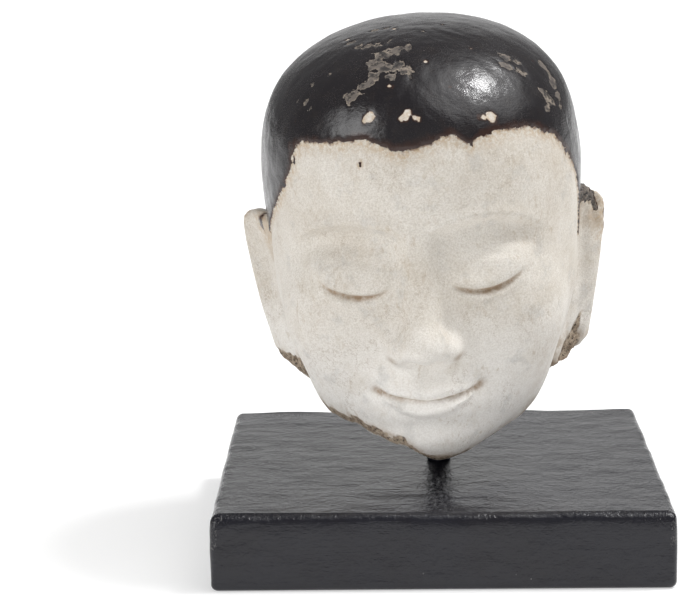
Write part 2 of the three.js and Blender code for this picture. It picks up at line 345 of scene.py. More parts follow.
def brow_relief(x, z):
    u = (x - 25) / 24
    below = 17.5 - 7 * u * u * (1 + 0.2 * np.sign(u)) - z
    socket = window(below, -1.5, 4.5, 6, 26)
    return window(x, 3, 9, 36, 53) * (SOCKET_DEPTH * socket - BROW_RIDGE * bump(below + 1.2, 1.9))


def nose_distance(q):
    tip = blend(tapered_rod(q, *NOSE_BRIDGE), ellipsoid(q, NOSE_TIP), NOSE_TIP["fillet"])
    return blend(tip, ellipsoid(q, NOSE_WING), NOSE_WING["fillet"])


def eye_parts(x, z):
    """Closed eye: how deep its line is, and the raised lids beside it."""
    u = (x - EYE_MIDDLE) / EYE_HALF_WIDTH
    width = np.sqrt(np.clip(1 - u * u, 0, 1))
    above = z - (-10.8 + 4.8 * u * u + 0.8 * u)
    lid_edge = LID_EDGE * window(above, -0.5, 0.4, 1, 8)
    line = EYE_LINE_DEPTH * bump(above + 1.2, 0.9)
    lower_lid = LOWER_LID * bump(above + 3.8, 1.5)
    fold = LID_FOLD * bump(z - 2.2 + 3.6 * u * u, 0.9)
    return width * line, width * (fold - lid_edge - lower_lid)


def mouth_parts(x, z):
    """Mouth: how deep its line, corners and grooves are, and the raised lips beside them."""
    m = np.clip(x / MOUTH_HALF_WIDTH, 0, 1)
    line = MOUTH_HEIGHT - 0.8 * bump(x, 5) + 3 * m * m
    cupid_bow = bump(x - 5.5, 3) - 1.1 * bump(x, 2.2)
    top = MOUTH_HEIGHT + 7 + cupid_bow - 4 * m**2.2
    bottom = MOUTH_HEIGHT - 8 + 11 * m**2.4
    upper = np.clip((z - line) / np.maximum(top - line, 1.2), 0, 1)
    lower = np.clip((line - z) / np.maximum(line - bottom, 1.2), 0, 1)
    lips = UPPER_LIP * np.sin(np.pi * upper) + LOWER_LIP * np.sin(np.pi * lower)
    lips = (1 - m * m) ** 1.1 * lips
    ends = 1 - smoothstep(x, MOUTH_HALF_WIDTH - 2, MOUTH_HALF_WIDTH + 2)
    seam = LIP_SEAM_DEPTH * bump(z - line, 0.8) * ends
    corner = bump(x - MOUTH_HALF_WIDTH - 0.5, 2.6) * bump(z - MOUTH_HEIGHT - 3, 2.4)
    corner = MOUTH_CORNER_DEPTH * corner
    groove = LIP_GROOVE_DEPTH * bump(x, 2.3) * window(z, -48, -44, -41, -37.5)
    under_lip = UNDER_LIP_DEPTH * bump(z + 66, 3.2) * bump(x, 13)
    return seam + 0.5 * corner, 0.5 * corner + groove + under_lip - lips


def head_distance(p):
    """Distance in mm from points in the head's frame to the carved surface, negative inside."""
    q = p * [1, 1, 1]
    q[:, 0] = np.abs(q[:, 0])
    x, y, z = q.T
    front = smoothstep(-y, 15, 35)
    d = ellipsoid(p + CROWN_LEAN * p[:, [2, 1, 0]] * [1, 0, -1], CROWN)
    for mass in MASSES:
        d = blend(d, ellipsoid(q if mass["mirrored"] else p, mass), mass["fillet"])
    d = d + front * brow_relief(x, z)
    d = blend(d, ellipsoid(q, LID), LID["fillet"])
    d = blend(d, nose_distance(q), NOSE_FILLET)
    nostril = NOSTRIL_DEPTH * bump(x - 5, 1.8) * bump(z + 38, 1.6) * smoothstep(-y, 72, 75)
    return d + front * (sum(eye_parts(x, z)) + sum(mouth_parts(x, z))) + nostril


def to_frame(p):
    """From the head's frame in mm to the part's frame in metres."""
    return p * MM @ np.array(HEAD_TILT).T + np.array(HEAD_ORIGIN)


def degrees_round(p):
    """Degrees round the head from the middle of the face, positive towards +x."""
    return np.degrees(np.arctan2(p[:, 0], -p[:, 1]))


def spots(p, kind):
    """How many mm inside the nearest of some ragged round spots each point is. Small ones are rounder."""
    ragged = kind["raggedness"] * rough(p, 2.2, kind["seed"])
    reach = np.sqrt((p**2).sum(1))
    inside = np.full(len(p), -99.0)
    for turn, up, radius in kind["places"]:
        turn, up = math.radians(turn), math.radians(up)
        towards = [math.sin(turn) * math.cos(up), -math.cos(turn) * math.cos(up), math.sin(up)]
        distance = np.sqrt(((p - reach[:, None] * towards) ** 2).sum(1))
        scale = min(1, radius / 1.5)
        inside = np.maximum(inside, radius - distance + ragged * scale)
    return inside


def hair_inside(p):
    """How many mm inside the painted cap of hair each point is, negative on the skin."""
    turn = degrees_round(p)
    z = p[:, 2]
    hairline = HAIRLINE_HEIGHT - HAIRLINE_DROOP * np.clip(np.abs(turn) - DROOP_START, 0, None) ** 2
    for place, height, width in HAIRLINE_WAVES:
        hairline = hairline + height * bump(turn - place, width)
    drop = np.clip(45 - z, 0, None)
    edge = np.where(turn < 0, RIGHT_EDGE + 0.06 * drop**1.7, LEFT_EDGE + 0.9 * drop)
    side = (np.abs(turn) - np.minimum(edge, LAST_EDGE)) * MM_PER_DEGREE
    inside = -blend(-side, hairline - z, HAIR_CORNER)
    inside = np.minimum(inside, z - NAPE_HEIGHT + 3 * lumps(p, 17, 5))
    return inside + rough(p, 4.5, 11) + 0.6 * rough(p, 1.9, 13, 2)


def lacquer_inside(p, steepness):
    """How many mm inside the lacquer each point is; round its chips and flecks the mm are steeper."""
    inside = np.minimum(hair_inside(p), -steepness * spots(p, CHIPS))
    return np.maximum(inside, steepness * spots(p, FLECKS))


def break_height(x, y):
    """Height in mm of the neck's break over x and y of the part's frame."""
    slope = BREAK_SLOPE_BACK * (y + 40) + BREAK_SLOPE_OUT * np.abs(x) - BREAK_SLOPE_ACROSS * x
    nape = NAPE_RISE * np.clip(y - NAPE_RISE_START, 0, None)
    wave = np.sin(0.21 * x + 1) * np.cos(0.17 * y) + 0.7 * np.sin(0.43 * x - 0.31 * y + 2)
    chip_ends = window(-x, -4, 24, 46, 54)
    chip = JAW_CHIP_SLOPE * np.clip(-26 - 0.5 * x - y, 0, JAW_CHIP_REACH) * chip_ends
    hollow = HOLLOW_DEPTH * bump(np.hypot(x, y), HOLLOW_WIDTH)
    return BREAK_HEIGHT + slope + nape + chip + hollow + BREAK_WAVE * wave


# ---------------------------------------------------------------- modelling helpers

def deselect():
    if bpy.context.object and bpy.context.object.mode != "OBJECT":
        bpy.ops.object.mode_set(mode="OBJECT")
    bpy.ops.object.select_all(action="DESELECT")


def read_points(piece):
    data = np.empty(len(piece.data.vertices) * 3)
    piece.data.vertices.foreach_get("co", data)
    return data.reshape(-1, 3)


def write_points(piece, points):
    piece.data.vertices.foreach_set("co", np.ascontiguousarray(points, float).ravel())
    piece.data.update()


def push_out(piece, points, lift):
    """Puts the vertices at these points, moved out along their normals."""
    data = np.empty(len(piece.data.vertices) * 3)
    piece.data.vertex_normals.foreach_get("vector", data)
    write_points(piece, points + data.reshape(-1, 3) * lift[:, None])


def paint(piece, name, values):
    """A named number for each vertex, which the materials read."""
    layer = piece.data.attributes.new(name, "FLOAT", "POINT")
    values = np.broadcast_to(np.asarray(values, np.float32), len(piece.data.vertices))
    layer.data.foreach_set("value", np.ascontiguousarray(values))


def paint_stone(piece, **shares):
    """The shares of lacquer, flaking, breakage, deep lines and dirt that the stone's material reads."""
    for name, plain in STONE_ONLY.items():
        paint(piece, name, shares.get(name, plain))


def combine(piece, tool, operation):
    """Joins another mesh to the piece, or cuts it away, and removes that mesh."""
    deselect()
    bpy.context.view_layer.objects.active = piece
    modifier = piece.modifiers.new("combine", "BOOLEAN")
    modifier.operation = operation
    modifier.solver = "MANIFOLD"
    modifier.object = tool
    bpy.ops.object.modifier_apply(modifier=modifier.name)
    bpy.data.objects.remove(tool)


def apply_place():
    bpy.ops.object.transform_apply(location=True, rotation=True, scale=True)


def raise_in_steps(height, steps):
    """Extrudes the flat piece in hand straight up in equal steps, to a closed solid."""
    bpy.ops.object.mode_set(mode="EDIT")
    bpy.ops.mesh.select_all(action="SELECT")
    for _ in range(steps):
        bpy.ops.mesh.extrude_region_move(TRANSFORM_OT_translate={"value": (0, 0, height / steps)})
    bpy.ops.mesh.select_all(action="SELECT")
    bpy.ops.mesh.normals_make_consistent(inside=False)
    bpy.ops.object.mode_set(mode="OBJECT")


def box_of_cells(cells):
    """A cube of size 1 round the origin, cut into cells along x, y and z."""
    deselect()
    bpy.ops.mesh.primitive_grid_add(
        x_subdivisions=cells[0], y_subdivisions=cells[1], size=1, location=(0, 0, -0.5))
    apply_place()
    raise_in_steps(1, cells[2])
    return bpy.context.object


def rod_socket(middle, depth):
    """The round tool that cuts a hole for the rod, with a little play."""
    deselect()
    bpy.ops.mesh.primitive_cylinder_add(
        vertices=ROD_SIDES, radius=ROD_RADIUS + ROD_PLAY, depth=depth, location=(0, 0, middle))
    return bpy.context.object


def finish_piece(piece, name, material, angle):
    """Names, shades and dresses a piece, and hands it over in place of its CAD node."""
    piece.name = name
    piece.data.name = name
    deselect()
    piece.select_set(True)
    bpy.context.view_layer.objects.active = piece
    bpy.ops.object.shade_smooth_by_angle(angle=angle)
    piece.data.materials.clear()
    piece.data.materials.append(material)
    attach(piece, "root")


# ---------------------------------------------------------------- material helpers

class Nodes:
    """Short ways to add and join a material's nodes."""

    def __init__(self, name):
        self.material = bpy.data.materials.new(name)
        self.material.use_nodes = True
        self.tree = self.material.node_tree
        self.shader = self.tree.nodes["Principled BSDF"]
        self.place = self.tree.nodes.new("ShaderNodeTexCoord").outputs["Object"]
        axes = self.tree.nodes.new("ShaderNodeSeparateXYZ")
        self.tree.links.new(self.place, axes.inputs[0])
        self.across, _, self.up = axes.outputs

    def link(self, value, socket):
        if isinstance(value, bpy.types.NodeSocket):
            self.tree.links.new(value, socket)
        else:
            socket.default_value = value

    def noise(self, scale, detail=2.0, roughness=0.5, stretch=None, distortion=0.0, shift=None):
        """Noise from 0 to 1 with `scale` waves to the metre."""
        place = self.place
        if stretch or shift:
            mapping = self.tree.nodes.new("ShaderNodeMapping")
            mapping.inputs["Scale"].default_value = stretch or (1, 1, 1)
            mapping.inputs["Location"].default_value = shift or (0, 0, 0)
            self.tree.links.new(place, mapping.inputs["Vector"])
            place = mapping.outputs["Vector"]
        node = self.tree.nodes.new("ShaderNodeTexNoise")
        node.inputs["Scale"].default_value = scale
        node.inputs["Detail"].default_value = detail
        node.inputs["Roughness"].default_value = roughness
        node.inputs["Distortion"].default_value = distortion
        self.tree.links.new(place, node.inputs["Vector"])
        return node.outputs["Fac"]

    def specks(self, scale):
        """Distance from 0 to about 1 to the nearest of scattered points."""
        node = self.tree.nodes.new("ShaderNodeTexVoronoi")
        node.inputs["Scale"].default_value = scale
        self.tree.links.new(self.place, node.inputs["Vector"])
        return node.outputs["Distance"]

    def painted(self, name):
        node = self.tree.nodes.new("ShaderNodeAttribute")
        node.attribute_name = name
        return node.outputs["Fac"]

    def math(self, operation, a, b=0.0):
        node = self.tree.nodes.new("ShaderNodeMath")
        node.operation = operation
        self.link(a, node.inputs[0])
        self.link(b, node.inputs[1])
        return node.outputs[0]

    def plus(self, a, b):
        return self.math("ADD", a, b)

    def minus(self, a, b):
        return self.math("SUBTRACT", a, b)

    def times(self, a, b):
        return self.math("MULTIPLY", a, b)

    def ramp(self, value, low, high, to_low=0.0, to_high=1.0, smooth=True):
        """The value taken from one range to another, and kept inside it."""
        node = self.tree.nodes.new("ShaderNodeMapRange")
        node.interpolation_type = "SMOOTHSTEP" if smooth else "LINEAR"
        self.link(value, node.inputs["Value"])
        node.inputs["From Min"].default_value = low
        node.inputs["From Max"].default_value = high
        node.inputs["To Min"].default_value = to_low
        node.inputs["To Max"].default_value = to_high
        return node.outputs["Result"]

    def mix(self, share, a, b):
        """Colour a, with colour b laid over it by a share from 0 to 1."""
        node = self.tree.nodes.new("ShaderNodeMix")
        node.data_type = "RGBA"
        self.link(share, node.inputs[0])
        self.link(a, node.inputs[6])
        self.link(b, node.inputs[7])
        return node.outputs[2]

    def mix_value(self, share, a, b):
        node = self.tree.nodes.new("ShaderNodeMix")
        node.data_type = "FLOAT"
        self.link(share, node.inputs[0])
        self.link(a, node.inputs[2])
        self.link(b, node.inputs[3])
        return node.outputs[0]

    def bump(self, height, depth, strength=1.0):
        """Bumps of a height from 0 to 1, `depth` metres deep."""
        node = self.tree.nodes.new("ShaderNodeBump")
        node.inputs["Distance"].default_value = depth
        self.link(strength, node.inputs["Strength"])
        self.tree.links.new(height, node.inputs["Height"])
        return node.outputs["Normal"]


def colour(rgb):
    return (rgb[0], rgb[1], rgb[2], 1.0)


def bare_stone(n, settings, clouds):
    """Cloudy white and cream stone with a fine speckle, made paler towards the chin by painted light from
    below.
    """
    pale, cream = colour(settings.stone_pale), colour(settings.stone_cream)
    stone = n.mix(n.ramp(clouds, 0.35, 0.68), pale, cream)
    # painted light: towards the chin the stone is painted paler, and its dark grain fainter, for the light
    # that falls on it from below
    chin_painted_light = n.ramp(n.up, 0.125, 0.06, 0, 1.0)
    stone = n.mix(chin_painted_light, stone, colour(settings.stone_painted_chin_light))
    warm = n.ramp(n.noise(70, 5, 0.65, shift=(3.1, 1.7, 0.4)), 0.50, 0.72, 0, 0.4)
    stone = n.mix(warm, stone, colour(settings.stone_stain))
    grey = n.ramp(n.noise(110, 4, 0.6, shift=(0.7, 2.9, 1.4)), 0.54, 0.72, 0, 0.4)
    stone = n.mix(grey, stone, (0.48, 0.475, 0.46, 1))
    grain = n.ramp(n.noise(1500, 3, 0.8), 0.36, 0.64, 0, 0.45)
    grain = n.times(grain, n.ramp(chin_painted_light, 0.0, 1.0, 1.0, 0.55))
    stone = n.mix(grain, stone, (0.40, 0.34, 0.27, 1))
    fleck = n.ramp(n.noise(1000, 3, 0.75, shift=(0.5, 0.2, 0.9)), 0.48, 0.64, 0, 0.35)
    stone = n.mix(fleck, stone, (0.82, 0.79, 0.75, 1))
    rubbed = n.ramp(n.noise(520, 4, 0.7, stretch=(1, 1, 0.45)), 0.54, 0.66)
    rubbed = n.times(rubbed, n.ramp(n.noise(48, 3), 0.45, 0.62))
    stone = n.mix(n.times(rubbed, 0.4), stone, (0.42, 0.32, 0.21, 1))
    veins = n.math("ABSOLUTE", n.minus(n.noise(95, 5, 0.7, shift=(1.2, 0.3, 2.2)), 0.5))
    scratches = n.times(n.ramp(veins, 0.0, 0.012, 0.55, 0), n.ramp(n.noise(40, 2), 0.5, 0.62))
    return n.mix(scratches, stone, (0.36, 0.28, 0.20, 1))


def stained_stone(n, stone, broken):
    """Dirt in the hollows, yellow-brown stain where it is painted, and the rough stone of the breaks."""
    dirt = n.ramp(n.noise(260, 4, 0.65), 0.3, 0.62, 0.25, 0.85)
    dirt = n.times(n.ramp(n.painted("recess"), 0.25, 1.1), dirt)
    stone = n.mix(dirt, stone, (0.30, 0.19, 0.10, 1))
    stain = n.times(n.painted("grime"), n.ramp(n.noise(120, 4, 0.7), 0.35, 0.65, 0.15, 1.0))
    stone = n.mix(stain, stone, (0.36, 0.25, 0.15, 1))
    break_tone = n.ramp(n.noise(420, 5, 0.8), 0.35, 0.65)
    rough_stone = n.mix(break_tone, (0.52, 0.43, 0.33, 1), (0.20, 0.14, 0.095, 1))
    pores = n.ramp(n.noise(900, 2, 0.6), 0.55, 0.64, 0, 0.9)
    rough_stone = n.mix(pores, rough_stone, (0.04, 0.03, 0.022, 1))
    return n.mix(n.ramp(broken, 0.2, 0.8), stone, rough_stone)


def flaked_ground(n, flake_edge):
    """The ground that shows where the top coat has flaked off in thin steps, with pale broken edges."""
    islands = n.noise(300, 5, 0.7, shift=(0.9, 0.4, 0.6))
    ground = n.mix(n.ramp(islands, 0.44, 0.54), (0.13, 0.11, 0.095, 1), (0.018, 0.015, 0.015, 1))
    ground = n.mix(n.ramp(n.noise(900, 3, 0.8), 0.52, 0.66, 0, 0.6), ground, (0.21, 0.18, 0.155, 1))
    steps = n.ramp(n.math("ABSOLUTE", n.minus(islands, 0.5)), 0.004, 0.016, 1.0, 0.0)
    rim = n.math("MAXIMUM", n.ramp(flake_edge, 0.35, 1.0, 1.0, 0.0), steps)
    gaps = n.noise(420, 3, 0.6, shift=(0.3, 0.8, 0.1))
    rim = n.times(rim, n.ramp(gaps, 0.38, 0.58, 0.1, 0.95))
    return n.mix(rim, ground, (0.36, 0.30, 0.24, 1))


def stone_material(settings):
    """Worn white marble with its stains, and the black lacquer that covers the hair."""
    n = Nodes("stone_and_lacquer")
    lacquer = n.painted("lacquer")
    broken = n.painted("broken")
    clouds = n.noise(38, 3, 0.55)
    stone = stained_stone(n, bare_stone(n, settings, clouds), broken)

    # lacquer: near black, browner and thinner towards its edge, with fine dust in its grain
    wavering = n.plus(lacquer, n.times(n.minus(n.noise(900, 5, 0.8), 0.5), 2.4))
    cover = n.ramp(wavering, -0.1, 0.1)
    brown = n.ramp(n.plus(lacquer, n.times(clouds, -5.0)), -2.4, 1.2, 0.8, 0.0)
    black = colour(settings.lacquer)
    black = n.mix(n.ramp(n.noise(240, 3, 0.6), 0.45, 0.75, 0, 0.5), black, (0.02, 0.015, 0.014, 1))
    black = n.mix(brown, black, (0.045, 0.019, 0.012, 1))
    dust = n.ramp(n.noise(2100, 3, 0.8), 0.54, 0.70, 0, 0.55)
    dust = n.times(dust, n.ramp(n.noise(55, 4, 0.7), 0.38, 0.62, 0.15, 1))
    black = n.mix(dust, black, (0.10, 0.085, 0.075, 1))
    flake_noise = n.noise(620, 5, 0.75)
    flake_edge = n.plus(n.painted("flake"), n.times(n.minus(flake_noise, 0.5), 5.0))
    flaked = n.ramp(flake_edge, 0.0, 0.2)
    black = n.mix(flaked, black, flaked_ground(n, flake_edge))
    scuffs = n.ramp(n.noise(520, 5, 0.8, stretch=(1, 1, 0.5)), 0.64, 0.72, 0, 0.5)
    black = n.mix(scuffs, black, (0.11, 0.095, 0.085, 1))

    # skin right beside the lacquer is creamy, with a thin brown outline
    near = n.ramp(n.noise(520, 5, 0.85), 0.44, 0.58, 0.1, 0.9)
    stone = n.mix(n.times(n.ramp(lacquer, -7, -0.6), near), stone, (0.52, 0.40, 0.27, 1))
    outline = n.ramp(n.noise(330, 3), 0.44, 0.6, 0.05, 0.85)
    stone = n.mix(n.times(n.ramp(wavering, -1.1, -0.1), outline), stone, (0.15, 0.08, 0.045, 1))
    n.link(n.mix(cover, stone, black), n.shader.inputs["Base Color"])

    gloss = n.ramp(n.noise(90, 4, 0.65), 0.3, 0.75, 0.12, 0.30, smooth=False)
    worn_coat = n.math("MAXIMUM", n.times(flaked, 0.8), n.math("MAXIMUM", scuffs, dust))
    lacquer_rough = n.mix_value(worn_coat, gloss, 0.7)
    stone_rough = n.ramp(clouds, 0.3, 0.7, 0.62, 0.78)
    stone_rough = n.mix_value(n.ramp(broken, 0.2, 0.8), stone_rough, 0.95)
    n.link(n.mix_value(cover, stone_rough, lacquer_rough), n.shader.inputs["Roughness"])
    n.shader.inputs["Specular IOR Level"].default_value = 0.5

    pits = n.ramp(n.specks(420), 0.08, 0.3)
    stone_height = n.plus(n.noise(1500, 4, 0.7), n.times(pits, 0.6))
    stone_height = n.mix_value(broken, stone_height, n.times(n.noise(600, 6, 0.75), 5.0))
    streaks = n.noise(1500, 3, 0.7, stretch=(0.25, 0.25, 1))
    lacquer_height = n.plus(n.times(n.noise(330, 4, 0.6), 1.2), n.times(streaks, 0.42))
    lacquer_height = n.plus(lacquer_height, n.times(n.noise(1500, 3, 0.7), 0.22))
    flaked_away = n.times(flaked, n.times(flake_noise, 2.4))
    lacquer_height = n.minus(lacquer_height, flaked_away)
    height = n.mix_value(cover, stone_height, lacquer_height)
    n.link(n.bump(height, STONE_BUMP), n.shader.inputs["Normal"])
    return n.material


def rod_material(settings):
    n = Nodes("black_rod_paint")
    tone = colour(settings.paint)
    tone = n.mix(n.ramp(n.noise(300, 4, 0.6), 0.55, 0.75, 0, 0.6), tone, (0.03, 0.028, 0.028, 1))
    n.link(tone, n.shader.inputs["Base Color"])
    n.link(n.ramp(n.noise(500, 3), 0.3, 0.7, 0.3, 0.45), n.shader.inputs["Roughness"])
    n.link(n.bump(n.noise(900, 4, 0.6), ROD_BUMP, 0.6), n.shader.inputs["Normal"])
    return n.material


def plinth_material(settings):
    """Black paint brushed on by hand, wrinkled on top, and worn to grey specks along its front edge."""
    n = Nodes("brushed_black_paint")
    wear = n.painted("wear")
    top = n.painted("top")
    tone = colour(settings.paint)
    tone = n.mix(n.ramp(n.noise(60, 4, 0.6), 0.4, 0.7, 0, 0.6), tone, (0.006, 0.005, 0.008, 1))
    tone = n.mix(n.ramp(n.noise(1900, 3, 0.8), 0.5, 0.7, 0, 0.35), tone, (0.022, 0.020, 0.024, 1))
    worn = n.ramp(n.plus(wear, n.times(n.noise(1100, 4, 0.8), 1.6)), 1.84, 1.98)
    tone = n.mix(worn, tone, (0.14, 0.135, 0.13, 1))
    dust = n.times(n.ramp(n.specks(190), 0.035, 0.055, 1, 0), n.ramp(n.noise(33, 2), 0.5, 0.58))
    tone = n.mix(n.times(dust, 0.6), tone, (0.45, 0.44, 0.42, 1))
    n.link(tone, n.shader.inputs["Base Color"])
    satin = n.ramp(n.noise(140, 5, 0.7, stretch=(0.35, 1, 1)), 0.3, 0.7, 0.13, 0.24, smooth=False)
    n.link(n.mix_value(n.math("MAXIMUM", worn, dust), satin, 0.7), n.shader.inputs["Roughness"])
    n.shader.inputs["Specular IOR Level"].default_value = 0.47
    strokes = n.noise(1100, 4, 0.75, stretch=(0.12, 0.12, 1))
    wrinkles = n.noise(400, 3, 0.65, stretch=(1, 0.6, 1), distortion=0.9)
    lumpy = n.noise(120, 3, 0.6, stretch=(0.6, 1, 1), distortion=0.6)
    on_top = n.plus(n.times(wrinkles, 1.35), n.times(lumpy, 1.6))
    fine = n.noise(1100, 3, 0.8, stretch=(1, 0.6, 1))
    on_top = n.plus(on_top, n.times(fine, 0.35))
    on_sides = n.plus(n.times(strokes, 0.4), n.times(wrinkles, 0.7))
    broad = n.noise(45, 3, 0.6, stretch=(0.5, 0.5, 1))
    on_sides = n.plus(on_sides, n.times(broad, 2.5))
    n.link(n.bump(n.mix_value(top, on_sides, on_top), PLINTH_BUMP), n.shader.inputs["Normal"])
    return n.material


def studio_light(settings):
    """A dim room with a soft light overhead, a small one at the left, a fill in front, a glow behind."""
    world = bpy.data.worlds.new("soft_studio")
    world.use_nodes = True
    tree = world.node_tree
    direction = tree.nodes.new("ShaderNodeTexCoord").outputs["Generated"]
    total = settings.room
    for towards, inner, outer, name in ROOM_LIGHTS:
        facing = tree.nodes.new("ShaderNodeVectorMath")
        facing.operation = "DOT_PRODUCT"
        tree.links.new(direction, facing.inputs[0])
        facing.inputs[1].default_value = towards
        glow = tree.nodes.new("ShaderNodeMapRange")
        glow.interpolation_type = "SMOOTHSTEP"
        tree.links.new(facing.outputs["Value"], glow.inputs["Value"])
        glow.inputs["From Min"].default_value = math.cos(math.radians(outer))
        glow.inputs["From Max"].default_value = math.cos(math.radians(inner))
        glow.inputs["To Max"].default_value = getattr(settings, name)
        added = tree.nodes.new("ShaderNodeMath")
        tree.links.new(glow.outputs["Result"], added.inputs[0])
        if isinstance(total, bpy.types.NodeSocket):
            tree.links.new(total, added.inputs[1])
        else:
            added.inputs[1].default_value = total
        total = added.outputs[0]
    tree.links.new(total, tree.nodes["Background"].inputs["Strength"])
    tree.nodes["Background"].inputs["Color"].default_value = (1, 1, 1, 1)
    return world


def floor_material(settings):
    n = Nodes("pale_floor")
    across = n.math("ABSOLUTE", n.across)
    tone = n.mix(n.ramp(n.noise(3, 2), 0.3, 0.7), colour(settings.floor), (0.61, 0.61, 0.61, 1))
    tone = n.mix(n.ramp(across, 0.6, 1.3, 0, 0.7), tone, (0.2, 0.2, 0.2, 1))
    n.link(tone, n.shader.inputs["Base Color"])
    n.shader.inputs["Roughness"].default_value = 0.9
    n.shader.inputs["Specular IOR Level"].default_value = 0.1
    n.shader.inputs["Emission Color"].default_value = (1, 1, 1, 1)
    n.shader.inputs["Emission Strength"].default_value = settings.floor_glow
    return n.material


# ---------------------------------------------------------------- settings

class HeadSettings(bpy.types.PropertyGroup):
    columns: bpy.props.IntProperty(
        name="Columns", description="Columns of faces round the head", default=380, min=64, max=400)
    rows: bpy.props.IntProperty(
        name="Rows", description="Rows of faces from the crown to the neck", default=215, min=48, max=230)
    lacquer_thickness: bpy.props.FloatProperty(
        name="Lacquer", description="How far the lacquer stands up at its edge",
        default=0.8 * MM, subtype="DISTANCE", unit="LENGTH")
    wear: bpy.props.FloatProperty(
        name="Wear", description="Height of the worn, uneven patches of the stone",
        default=0.3 * MM, subtype="DISTANCE", unit="LENGTH")
    stone_pale: bpy.props.FloatVectorProperty(
        name="Pale stone", description="The whitest of the stone", subtype="COLOR",
        default=(0.79, 0.75, 0.685))
    stone_cream: bpy.props.FloatVectorProperty(
        name="Cream stone", description="The cloudy parts of the stone", subtype="COLOR",
        default=(0.69, 0.64, 0.565))
    # painted light: the pale colour low on the face stands for the light that falls on the chin from below
    stone_painted_chin_light: bpy.props.FloatVectorProperty(
        name="Chin stone, painted light", description="The stone low on the face, painted paler for the light from below", subtype="COLOR",
        default=(0.92, 0.895, 0.855))
    stone_stain: bpy.props.FloatVectorProperty(
        name="Warm stain", description="The warm patches of the stone", subtype="COLOR",
        default=(0.57, 0.50, 0.40))
    lacquer: bpy.props.FloatVectorProperty(
        name="Lacquer colour", description="The black of the lacquered hair", subtype="COLOR",
        default=(0.012, 0.010, 0.012))


class PlinthSettings(bpy.types.PropertyGroup):
    edge_radius: bpy.props.FloatProperty(
        name="Edge radius", description="How round the painted edges are",
        default=3.2 * MM, subtype="DISTANCE", unit="LENGTH")
    roll_off: bpy.props.FloatProperty(
        name="Roll-off", description="How far the sides lean in at the top",
        default=0.8 * MM, subtype="DISTANCE", unit="LENGTH")
    roll_off_height: bpy.props.FloatProperty(
        name="Roll-off height", description="How far below the top the sides begin to lean in",
        default=8 * MM, subtype="DISTANCE", unit="LENGTH")
    lump_height: bpy.props.FloatProperty(
        name="Paint lumps", description="How uneven the thick paint is",
        default=0.2 * MM, subtype="DISTANCE", unit="LENGTH")
    ring: bpy.props.FloatProperty(
        name="Ring", description="How far the ring of paint at the rod's foot stands out",
        default=1.1 * MM, subtype="DISTANCE", unit="LENGTH")
    paint: bpy.props.FloatVectorProperty(
        name="Paint", description="The black paint of the plinth and the rod", subtype="COLOR",
        default=(0.008, 0.008, 0.013))


class StageSettings(bpy.types.PropertyGroup):
    camera_place: bpy.props.FloatVectorProperty(
        name="Camera", description="Where the camera stands", subtype="TRANSLATION", unit="LENGTH",
        default=(-0.019, -1.058, 0.2944))
    camera_turn: bpy.props.FloatProperty(
        name="Turn", description="The camera's turn to its left", subtype="ANGLE",
        default=math.radians(1.05))
    camera_pitch: bpy.props.FloatProperty(
        name="Pitch", description="How far the camera looks down", subtype="ANGLE",
        default=math.radians(10.58))
    camera_roll: bpy.props.FloatProperty(
        name="Roll", description="The camera's roll", subtype="ANGLE", default=math.radians(-0.72))
    lens: bpy.props.FloatProperty(
        name="Lens", description="Focal length in mm for a sensor 36 mm wide", default=134.6)
    sun_strength: bpy.props.FloatProperty(
        name="Key light", description="Strength of the key light", default=1.35)
    room: bpy.props.FloatProperty(
        name="Room", description="Strength of the even light all round", default=0.22)
    overhead: bpy.props.FloatProperty(
        name="Overhead", description="Strength of the soft light overhead", default=2.3)
    side_light: bpy.props.FloatProperty(
        name="Side light", description="Strength of the small light at the left", default=4.4)
    front_fill: bpy.props.FloatProperty(
        name="Front fill", description="Strength of the wide dim light in front", default=0.15)
    backdrop: bpy.props.FloatProperty(
        name="Backdrop", description="Strength of the glow behind the head", default=0.52)
    floor_glow: bpy.props.FloatProperty(
        name="Floor glow", description="Light from the floor, which softens the shadow", default=0.48)
    floor: bpy.props.FloatVectorProperty(
        name="Floor", description="The floor's colour", subtype="COLOR", default=(0.60, 0.60, 0.60))


# ---------------------------------------------------------------- operators

def head_blank(settings):
    """A ball pushed out to the carved surface, with its rows and columns drawn together on the face."""
    deselect()
    bpy.ops.mesh.primitive_uv_sphere_add(
        segments=settings.columns, ring_count=settings.rows, radius=1)
    piece = bpy.context.object
    ball = read_points(piece)
    row = np.arccos(np.clip(ball[:, 2], -1, 1)) / np.pi
    column = np.arctan2(ball[:, 0], -ball[:, 1]) / (2 * np.pi)
    crowding = np.sin(2 * np.pi * (row - FACE_ROW)) + np.sin(2 * np.pi * FACE_ROW)
    polar = np.pi * row - ROW_CROWDING * crowding
    turn = 2 * np.pi * column - COLUMN_CROWDING * np.sin(2 * np.pi * column)
    across = np.sin(polar)
    direction = np.stack([across * np.sin(turn), -across * np.cos(turn), np.cos(polar)], 1)
    inside = np.full(len(ball), NEAREST_SURFACE)
    outside = np.full(len(ball), FARTHEST_SURFACE)
    for _ in range(HALVINGS):
        radius = (inside + outside) / 2
        within = head_distance(HEAD_MIDDLE + direction * radius[:, None]) < 0
        inside = np.where(within, radius, inside)
        outside = np.where(within, outside, radius)
    write_points(piece, HEAD_MIDDLE + direction * ((inside + outside) / 2)[:, None])
    return piece


